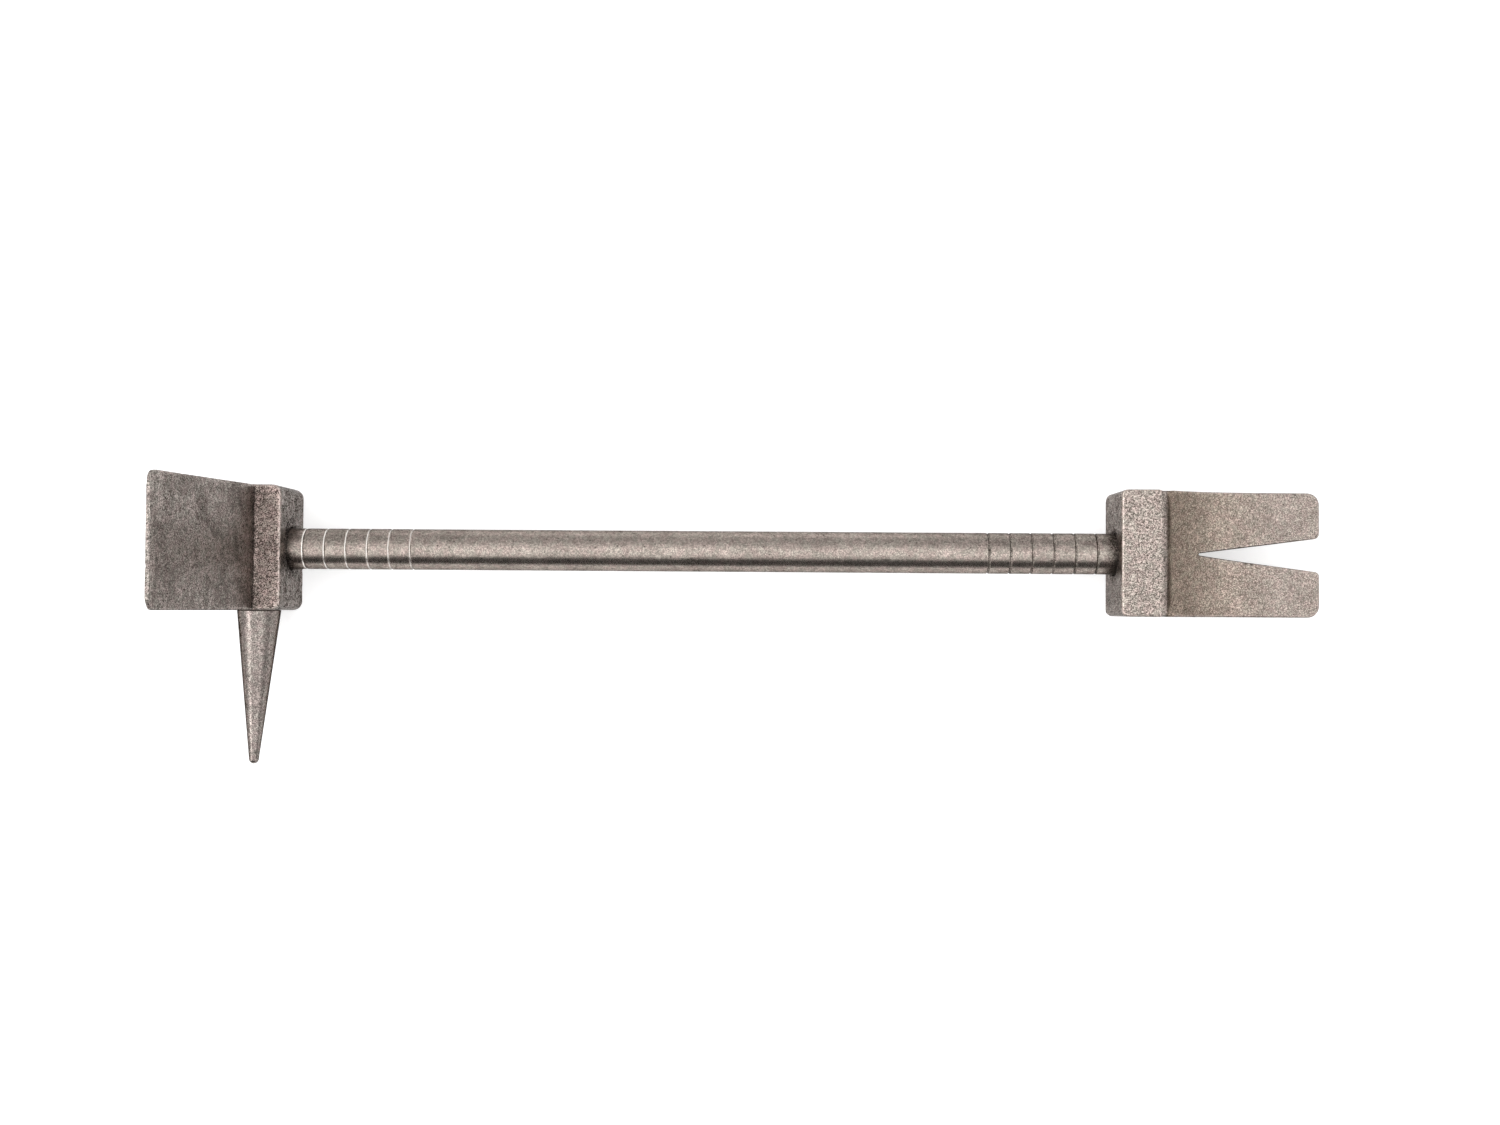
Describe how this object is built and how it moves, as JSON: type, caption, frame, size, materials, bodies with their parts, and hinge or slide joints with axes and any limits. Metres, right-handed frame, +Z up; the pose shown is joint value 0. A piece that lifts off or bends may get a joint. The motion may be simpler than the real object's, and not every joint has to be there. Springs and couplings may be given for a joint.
{
  "type": "halligan bar",
  "caption": "Pocket halligan-style pry bar: grooved round shaft, forked claw at one end, upright adze with side pike at the other.",
  "frame": {"origin": "centre of the adze block's flat underside, below the crossing of the shaft's and the pike's axes", "axes": "+X along the shaft from the adze head to the fork, +Y to the side away from the pike, +Z up along the adze blade, with the tool lying on the undersides of its two head blocks"},
  "size_m": [0.1693, 0.0431, 0.041],
  "materials": {
    "titanium_adze": "tumbled titanium, matt, brownish grey",
    "titanium_pike": "tumbled titanium, satin, pitted",
    "titanium_shaft": "tumbled titanium, satin, fine scratches",
    "titanium_fork": "tumbled titanium, matt, warm grey speckle",
    "pin_steel": "ground dowel pin, driven just below flush"
  },
  "bodies": {
    "root": {"adze_head": "titanium_adze", "pike": "titanium_pike", "shaft": "titanium_shaft", "fork_head": "titanium_fork", "adze_lock_pin": "pin_steel", "pike_lock_pin": "pin_steel", "fork_lock_pin": "pin_steel"}
  },
  "joints": []
}
